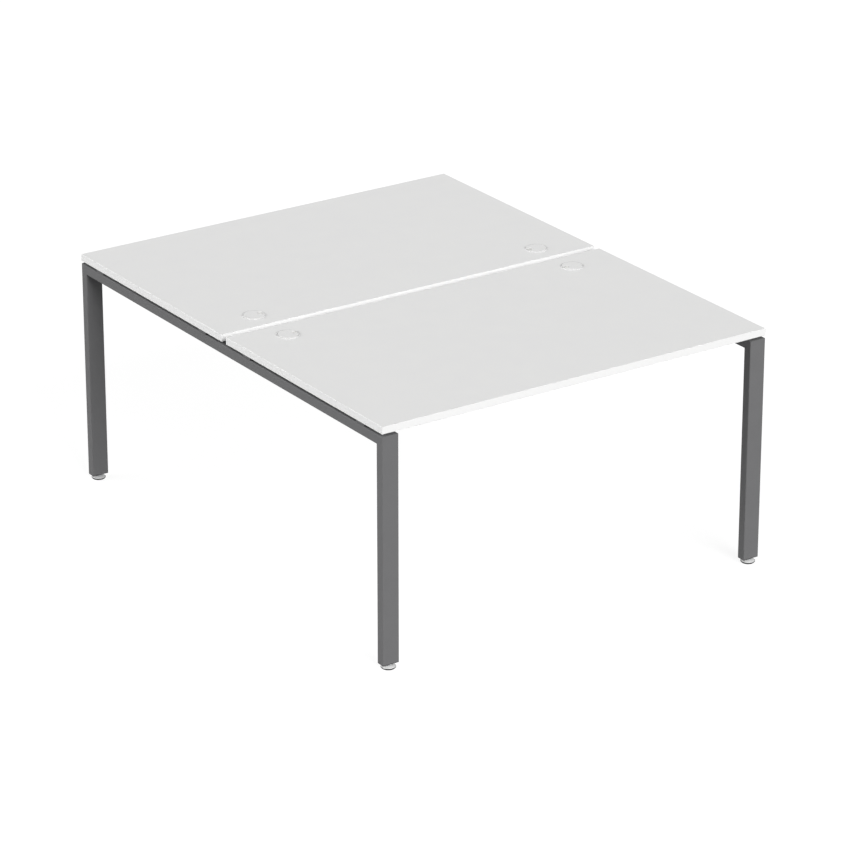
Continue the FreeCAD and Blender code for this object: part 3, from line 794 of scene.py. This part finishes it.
@dataclass
class ScrewThread:
    """A right-hand screw thread, cut on a rod of its outer size."""

    outer: float = 4 * MM
    inner: float = 3.325 * MM
    pitch: float = 1.25 * MM
    tip: float = 1 * MM
    half_flat: float = 0.06  # of the crest and of the root, in pitches
    sides: int = 40
    rows: float = 8.0  # along one turn

    def tree(self) -> NodeTree:
        """Makes a tree, once, that adds the thread to the piece that it is given.

        Returns:
            The tree.
        """
        if "screw_thread" in bpy.data.node_groups:
            return bpy.data.node_groups["screw_thread"]
        sizes = ("Outer radius", "Inner radius", "Pitch", "Length", "Tip")
        kinds = {size: "NodeSocketFloat" for size in sizes} | {"Middle": "NodeSocketVector"}
        tree, given = new_tree("screw_thread", kinds)
        outer, inner, pitch, long, tip = (given.outputs[size] for size in sizes)
        turns = add_node(tree, MATHS, {0: long, 1: pitch}, operation="DIVIDE")
        rows = add_node(tree, MATHS, {0: turns, 1: self.rows}, operation="MULTIPLY")
        blank = {"Vertices": self.sides, "Side Segments": rows, "Radius": outer, "Depth": long}
        rod = add_node(tree, "GeometryNodeMeshCylinder", blank)
        spot = add_node(tree, "GeometryNodeInputPosition")
        parts = add_node(tree, "ShaderNodeSeparateXYZ", {0: spot})
        halves = {0: long, 1: 0.5, 2: parts.outputs["Z"]}
        rise = add_node(tree, MATHS, halves, operation="MULTIPLY_ADD")
        sides = {0: parts.outputs["Y"], 1: parts.outputs["X"]}
        bearing = add_node(tree, MATHS, sides, operation="ARCTAN2")
        turn = add_node(tree, MATHS, {0: bearing, 1: math.tau}, operation="DIVIDE")
        climb = add_node(tree, MATHS, {0: rise, 1: pitch}, operation="DIVIDE")
        phase = add_node(tree, MATHS, {0: climb, 1: turn}, operation="SUBTRACT")
        flank = add_node(tree, MATHS, {0: phase, 1: 0.5}, operation="PINGPONG")
        root = 0.5 - self.half_flat
        slope = {"From Min": root, "From Max": self.half_flat, "To Min": inner, "To Max": outer}
        crest = add_node(tree, "ShaderNodeMapRange", {"Value": flank, **slope})
        tip_start = add_node(tree, MATHS, {0: long, 1: tip}, operation="SUBTRACT")
        tip_radius = add_node(tree, MATHS, {0: outer, 1: tip}, operation="SUBTRACT")
        cone = {"From Min": tip_start, "From Max": long, "To Min": outer, "To Max": tip_radius}
        limit = add_node(tree, "ShaderNodeMapRange", {"Value": rise, **cone})
        radius = add_node(tree, MATHS, {0: crest, 1: limit}, operation="MINIMUM")
        reach = add_node(tree, MATHS, {0: radius, 1: outer}, operation="DIVIDE")
        shrink = add_node(tree, "ShaderNodeCombineXYZ", {"X": reach, "Y": reach, "Z": 1.0})
        drawn_in = add_node(tree, "ShaderNodeVectorMath", {0: spot, 1: shrink}, operation="MULTIPLY")
        cut = add_node(tree, "GeometryNodeSetPosition", {"Geometry": rod, "Position": drawn_in})
        move = {"Geometry": cut, "Translation": given.outputs["Middle"]}
        raised = add_node(tree, "GeometryNodeTransform", move)
        whole = add_node(tree, "GeometryNodeJoinGeometry", {0: raised})
        tree.links.new(given.outputs["Geometry"], whole.inputs[0])
        close_tree(tree, whole, ZINC)
        return tree

    def cut(self, name: str, stem: Mesh, foot: Vector, top: float) -> Object:
        """Adds the thread to a stem.

        Args:
            name: The piece's name.
            stem: The mesh that carries the thread.
            foot: Where the thread starts.
            top: The height where it ends.

        Returns:
            The piece.
        """
        long = top - foot.z
        sizes = {
            "Outer radius": self.outer,
            "Inner radius": self.inner,
            "Pitch": self.pitch,
            "Length": long,
            "Tip": self.tip,
            "Middle": foot + Vector((0.0, 0.0, long / 2)),
        }
        return grow(name, stem, self.tree(), sizes)


@dataclass
class LevellingFoot:
    """Chrome disc in a cupped glide, with a stud that turns in it and screws up into the leg."""

    corner: Corner
    rim_high: float = 2.5 * MM
    rim_rounding: float = 0.8 * MM
    neck_radius: float = 11 * MM
    neck_rounding: float = 0.5 * MM
    bearing_radius: float = 5.05 * MM
    socket_radius: float = 7.7 * MM
    socket_deep: float = 2.2 * MM
    glide_chamfer: float = 1 * MM
    cup_wall: float = 0.9 * MM
    cup_rounding: float = 0.3 * MM
    cup_below_rim: float = 0.2 * MM
    head: tuple[float, float, float] = (7.5 * MM, 0.2 * MM, 2.0 * MM)  # radius, bottom, top
    head_rounding: float = 0.3 * MM
    journal_radius: float = 5 * MM
    collar: tuple[float, float, float] = (13 * MM, 6.7 * MM, 12.8 * MM)  # across flats, bottom, top
    chamfer_radius: float = 6.2 * MM
    chamfer_fall: float = 0.577
    thread: ScrewThread = field(default_factory=ScrewThread)
    thread_sunk: float = 0.2 * MM
    plug_edge: float = 0.35 * MM

    def disc(self) -> None:
        """Turns the disc: rounded rim, cone, neck and bearing, inside the glide's cup."""
        node = f"foot_base_{self.corner}"
        low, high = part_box(node)
        outer, tall = (high.x - low.x) / 2 - self.cup_wall, high.z - low.z
        bend, ease = self.rim_rounding, self.neck_rounding
        slope = math.degrees(math.atan2(tall - self.rim_high, outer - self.neck_radius))
        upright = 90 - slope
        shoulder = (outer - bend, self.rim_high - bend * math.tan(math.radians(upright / 2)))
        neck = (self.neck_radius - ease * math.tan(math.radians(slope / 2)), tall - ease)
        profile = [(self.socket_radius, 0.0)]
        profile += arc((outer - bend, bend), bend, -90, 0)
        profile += arc(shoulder, bend, 0, upright)
        profile += arc(neck, ease, upright, 90, FEW_STEPS)
        profile += [
            (self.bearing_radius, tall),
            (self.bearing_radius, self.socket_deep),
            (self.socket_radius, self.socket_deep),
        ]
        name, at = f"foot_disc_{self.corner}", middle(low, high, low.z)
        piece = turned(name, profile, at, closed=True)
        # The disc's chrome finish is mostly diffuse white: a painted reflection of the white room.
        stand_in(piece, CHROME, f"foot_{self.corner}", node)

    def glide(self) -> None:
        """Turns the glide: a chamfered pad with a thin cup round the disc's rim."""
        node = f"foot_pad_{self.corner}"
        low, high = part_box(node)
        disc_low, disc_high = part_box(f"foot_base_{self.corner}")
        radius, thick = (high.x - low.x) / 2, high.z - low.z
        outer, bend = (disc_high.x - disc_low.x) / 2, self.cup_rounding
        top = thick + self.rim_high - self.cup_below_rim
        profile = [(radius - self.glide_chamfer, 0.0), (radius, self.glide_chamfer), (radius, thick)]
        profile += arc((outer - bend, thick + bend), bend, -90, 0, FEW_STEPS)
        profile += arc((outer - bend, top - bend), bend, 0, 90, FEW_STEPS)
        profile += [(outer - self.cup_wall, top), (outer - self.cup_wall, thick)]
        name, at = f"foot_glide_{self.corner}", middle(low, high, low.z)
        piece = turned(name, profile, at, closed=False)
        stand_in(piece, GLIDE, f"foot_{self.corner}", node)

    def stem(self, at: Vector) -> Mesh:
        """Makes the stud below its thread: head, plain bearing and spanner flats.

        Args:
            at: The middle of the disc's underside.

        Returns:
            The mesh.
        """
        head_radius, head_low, head_high = self.head
        across, low, high = self.collar
        head = [
            (head_radius - self.head_rounding, head_low),
            (head_radius, head_low + self.head_rounding),
            (head_radius, head_high),
            (self.journal_radius, head_high),
            (self.journal_radius, low),
            (self.chamfer_radius, low),
        ]
        flats = [
            hex_ring(across, low, self.chamfer_radius, -self.chamfer_fall),
            hex_ring(across, high, self.chamfer_radius, self.chamfer_fall),
        ]
        top = [(self.chamfer_radius, high), (self.thread.inner, high)]
        return loft("stud_stem", round_rings(head) + flats + round_rings(top), at=at)

    def stud(self) -> None:
        """Makes the stud with a real thread, in place of the plain one."""
        node = f"foot_stud_{self.corner}"
        low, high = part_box(node)
        _, head_low, _ = self.head
        _, _, collar_top = self.collar
        at = middle(low, high, low.z) - Vector((0.0, 0.0, head_low))
        foot = at + Vector((0.0, 0.0, collar_top - self.thread_sunk))
        piece = self.thread.cut(f"levelling_stud_{self.corner}", self.stem(at), foot, high.z)
        take_over(piece, f"stud_{self.corner}", node)

    def plug(self) -> None:
        """Makes the leg's end plug, with its flange's edges eased."""
        node = f"leg_plug_{self.corner}"
        piece = softened(node, f"leg_end_plug_{self.corner}", self.plug_edge)
        stand_in(piece, PLUG_PLASTIC, "frame", node)

    def build(self) -> None:
        """Builds and dresses the foot's pieces."""
        self.disc()
        self.glide()
        self.stud()
        self.plug()


@dataclass
class Brush:
    """Bristles that close a cable notch from both its sides."""

    notch_wide: float = 18 * MM
    notch_centre: float = 22.2 * MM  # of the notch's round end, from the cap's centre
    start: float = 13.8 * MM
    end: float = 29.4 * MM
    rows: int = 44
    radius: float = 0.2 * MM
    sides: int = 5
    drop: float = 0.8 * MM
    lean: float = 0.05  # radians, either way
    seed: int = 11

    def tree(self) -> NodeTree:
        """Makes a tree, once, that grows a bristle from each point, as long as the point's reach.

        Returns:
            The tree.
        """
        if "brush" in bpy.data.node_groups:
            return bpy.data.node_groups["brush"]
        kinds = {"Bristle radius": "NodeSocketFloat", "Lean": "NodeSocketVector", "Seed": "NodeSocketInt"}
        tree, given = new_tree("brush", kinds)
        radius, lean, seed = (given.outputs[kind] for kind in kinds)
        blank = {"Vertices": self.sides, "Radius": radius, "Depth": 1.0}
        rod = add_node(tree, "GeometryNodeMeshCylinder", blank)
        bristle = add_node(tree, "GeometryNodeTransform", {"Geometry": rod, "Translation": (0.0, 0.0, 0.5)})
        reach = add_node(tree, "GeometryNodeInputNamedAttribute", {"Name": "reach"}, data_type="FLOAT")
        stretch = add_node(tree, "ShaderNodeCombineXYZ", {"X": 1.0, "Y": 1.0, "Z": reach})
        back = add_node(tree, "ShaderNodeVectorMath", {0: lean, "Scale": -1.0}, operation="SCALE")
        roots = {"Points": given.outputs["Geometry"], "Instance": bristle, "Scale": stretch}
        set_out(tree, roots, back, lean, seed, BRISTLE)
        return tree

    def fill(self, name: str, centre: Vector, opens: int) -> Object:
        """Fills the notch of one cap.

        Args:
            name: The piece's name.
            centre: The middle of the cap's top.
            opens: The side along X that the notch opens to.

        Returns:
            The bristles, as one piece.
        """
        half = self.notch_wide / 2
        roots, turns, reaches = [], [], []
        for row in range(self.rows):
            out = self.start + (self.end - self.start) * row / (self.rows - 1)
            short = max(0.0, self.notch_centre - out)
            reach = math.sqrt(half * half - short * short)
            for side in SIDES:
                level = centre.z - self.drop * (1 + row % 2)
                roots.append(Vector((centre.x + opens * out, centre.y + side * reach, level)))
                turns += [side * math.pi / 2, 0.0, 0.0]
                reaches.append(reach)
        seed = bpy.data.meshes.new("bristle_roots")
        seed.from_pydata(roots, [], [])
        seed.attributes.new("facing", "FLOAT_VECTOR", "POINT").data.foreach_set("vector", turns)
        seed.attributes.new("reach", "FLOAT", "POINT").data.foreach_set("value", reaches)
        lean = Vector((self.lean, self.lean, 0.0))
        sizes = {"Bristle radius": self.radius, "Lean": lean, "Seed": self.seed}
        return grow(name, seed, self.tree(), sizes)


@dataclass
class Grommet:
    """Cable grommet: a flanged sleeve in the worktop and a lid that turns in it, both moulded."""

    corner: Corner
    barrel_radius: float = 29.8 * MM
    bore_radius: float = 27.6 * MM
    recess_radius: float = 31.5 * MM
    ledge_high: float = 0.9 * MM
    rim_rounding: float = 1.2 * MM
    lip_rounding: float = 0.4 * MM
    lid_edge: float = 0.4 * MM
    brush: Brush = field(default_factory=Brush)

    def sleeve(self) -> None:
        """Turns the sleeve: barrel, flange with a rounded rim, and the ledge that carries the lid."""
        node = f"grommet_ring_{self.corner}"
        low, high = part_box(node)
        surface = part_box(f"{self.corner.row}_desktop_panel")[1].z
        outer, top, bottom = (high.x - low.x) / 2, high.z - surface, low.z - surface
        rim, lip = self.rim_rounding, self.lip_rounding
        profile = [
            (self.bore_radius, bottom),
            (self.barrel_radius, bottom),
            (self.barrel_radius, 0.0),
            (outer, 0.0),
        ]
        profile += arc((outer - rim, top - rim), rim, 0, 90, MANY_STEPS)
        profile += arc((self.recess_radius + lip, top - lip), lip, 90, 180, FEW_STEPS)
        profile += [(self.recess_radius, self.ledge_high), (self.bore_radius, self.ledge_high)]
        name, at = f"grommet_sleeve_{self.corner}", middle(low, high, surface)
        piece = turned(name, profile, at, closed=True)
        # The sleeve's greyer finish is painted shade round the rim.
        stand_in(piece, SLEEVE_PLASTIC, "frame", node)

    def lid(self) -> None:
        """Makes the lid, with the edges of its rim and cable notch eased, and the bristles in the notch."""
        node, body = f"grommet_cap_{self.corner}", f"cap_{self.corner}"
        piece = softened(node, f"grommet_lid_{self.corner}", self.lid_edge)
        stand_in(piece, LID_PLASTIC, body, node)
        low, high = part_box(node)
        centre, inwards = middle(low, high, high.z), -self.corner.end.value
        bristles = self.brush.fill(f"grommet_brush_{self.corner}", centre, inwards)
        take_over(bristles, body)

    def build(self) -> None:
        """Builds and dresses the grommet's pieces."""
        self.sleeve()
        self.lid()


@dataclass
class UnderFrame:
    """What carries the worktops: spacers, rails' end plates, screws, bolts and welds."""

    spacer_edge: float = 0.5 * MM
    plate_edge: float = 0.6 * MM
    tube_wall: float = 2 * MM
    bolt_reach: float = 42 * MM  # either side of the rail's middle
    bolt_level: float = 705 * MM
    bolt_seed: int = 7
    spacer_screw_long: float = 26 * MM
    spacer_screw_seed: int = 3
    rail_screw_long: float = 18 * MM
    rail_screw_apart: float = 400 * MM
    rail_screw_seed: int = 5

    def spacers(self) -> None:
        """Makes the spacer blocks, with their edges eased."""
        for node in nodes_in("spacer_grey"):
            piece = softened(node, f"{node}_block", self.spacer_edge)
            stand_in(piece, SPACER_PLASTIC, "frame", node)

    def plates(self) -> None:
        """Makes the rails' end plates, with their sawn edges eased."""
        for corner in Corner:
            node = f"rail_end_plate_{corner}"
            piece = softened(node, f"rail_flange_plate_{corner}", self.plate_edge)
            stand_in(piece, POWDER_COAT, "frame", node)

    def bolts(self) -> None:
        """Sets out the flange bolts that hold the rails to the crossbars."""
        places = []
        for corner in Corner:
            low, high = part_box(f"rail_end_plate_{corner}")
            seat = high.x if corner.end is End.LEFT else low.x
            centre = (low.y + high.y) / 2
            facing = Vector((0.0, corner.end.value * math.pi / 2, 0.0))
            for side in SIDES:
                places.append((Vector((seat, centre + side * self.bolt_reach, self.bolt_level)), facing))
        bolt = FlangeBolt()
        Fasteners("rail_flange_bolts", "rail_bolts", self.bolt_seed, bolt.mesh, places).build()

    def screws(self) -> None:
        """Sets out the screws that hold crossbars and rails to the worktops."""
        places = []
        for node in nodes_in("spacer_grey"):
            low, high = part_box(node)
            places.append((middle(low, high, low.z - self.tube_wall), ORIGIN))
        screw, seed = WoodScrew(self.spacer_screw_long), self.spacer_screw_seed
        Fasteners("spacer_wood_screws", "spacer_screws", seed, screw.mesh, places).build()
        places = []
        for row in Row:
            low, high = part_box(f"rail_{row}")
            for step in (-1, 0, 1):
                along = step * self.rail_screw_apart
                seat = Vector((along, (low.y + high.y) / 2, high.z - self.tube_wall))
                places.append((seat, ORIGIN))
        screw, seed = WoodScrew(self.rail_screw_long), self.rail_screw_seed
        Fasteners("rail_wood_screws", "rail_top_screws", seed, screw.mesh, places).build()

    def build(self) -> None:
        """Builds and dresses the under-frame's pieces."""
        self.spacers()
        self.plates()
        self.bolts()
        self.screws()
        WeldBeads().build()


@dataclass(frozen=True)
class StudioLight:
    """A distant soft light."""

    name: str
    strength: float
    spread: float  # how wide it looks from the desk, in degrees
    towards: tuple[float, float, float]

    def build(self) -> None:
        """Hangs the light."""
        lamp = bpy.data.lights.new(self.name, "SUN")
        lamp.energy = self.strength
        lamp.angle = math.radians(self.spread)
        holder = link_object(self.name, lamp)
        holder.rotation_euler = Vector(self.towards).to_track_quat("-Z", "Y").to_euler()


@dataclass
class Studio:
    """Pale floor, soft light and the camera."""

    floor_side: float = 80.0
    floor_colour: str = "#7C7C7C"
    floor_glow_colour: str = "#F4F4F4"
    floor_glow: float = 0.97
    floor_roughness: float = 0.9
    sky_colour: str = "#FFFFFF"
    sky: float = 0.26
    lights: tuple[StudioLight, ...] = (
        StudioLight("left_light", 2.22, 60, (0.80, -0.45, -0.40)),
        StudioLight("front_light", 2.93, 36, (0.0, 0.88, -0.47)),
    )
    lens: float = 175.44
    sensor: float = 36.0
    reach: float = 200.0
    eye: tuple[float, float, float] = (-6.5008, -9.6616, 5.1503)
    yaw: float = 0.594729
    pitch: float = 0.393791

    def floor(self) -> None:
        """Lays a plain floor that glows a little, so that shadows on it stay faint."""
        half = self.floor_side / 2
        mesh = bpy.data.meshes.new("studio_floor")
        corners = [(-half, -half, 0), (half, -half, 0), (half, half, 0), (-half, half, 0)]
        mesh.from_pydata(corners, [], [(0, 1, 2, 3)])
        floor = link_object("studio_floor", mesh)
        paint = bpy.data.materials.new("studio_floor_paint")
        paint.use_nodes = True
        surface = {
            "Base Color": linear(self.floor_colour),
            "Roughness": self.floor_roughness,
            "Specular IOR Level": 0.0,
            "Emission Color": linear(self.floor_glow_colour),
            "Emission Strength": self.floor_glow,
        }
        for name, setting in surface.items():
            paint.node_tree.nodes["Principled BSDF"].inputs[name].default_value = setting
        mesh.materials.append(paint)
        floor.visible_diffuse = False

    def world(self) -> None:
        """Lights the room evenly from all round."""
        world = bpy.data.worlds.new("studio")
        world.use_nodes = True
        sky = world.node_tree.nodes["Background"]
        sky.inputs["Color"].default_value = linear(self.sky_colour)
        sky.inputs["Strength"].default_value = self.sky
        bpy.context.scene.world = world
        bpy.context.scene.view_settings.view_transform = "Standard"

    def camera(self) -> None:
        """Sets the camera at the photograph's angle."""
        data = bpy.data.cameras.new("camera")
        data.lens = self.lens
        data.sensor_width = self.sensor
        data.clip_end = self.reach
        camera = link_object("camera", data)
        level = math.cos(self.pitch)
        ahead = Vector((math.sin(self.yaw) * level, math.cos(self.yaw) * level, -math.sin(self.pitch)))
        camera.location = self.eye
        camera.rotation_euler = ahead.to_track_quat("-Z", "Y").to_euler()
        bpy.context.scene.camera = camera

    def build(self) -> None:
        """Sets the studio up."""
        self.floor()
        self.world()
        for light in self.lights:
            light.build()
        self.camera()


def main() -> None:
    """Builds the desk's looks and the studio, in order."""
    logging.basicConfig(level=logging.INFO, format="%(name)s: %(message)s")
    worktops = KeptSolids({"laminate_white": LAMINATE, "edge_band_white": EDGE_BAND})
    steelwork = KeptSolids({"powder_coat_grey": POWDER_COAT, "zinc_steel": ZINC_HEADED})
    worktops.build()
    steelwork.build()
    UnderFrame().build()
    for corner in Corner:
        Grommet(corner).build()
        LevellingFoot(corner).build()
    Studio().build()


if __name__ == "__main__":
    main()
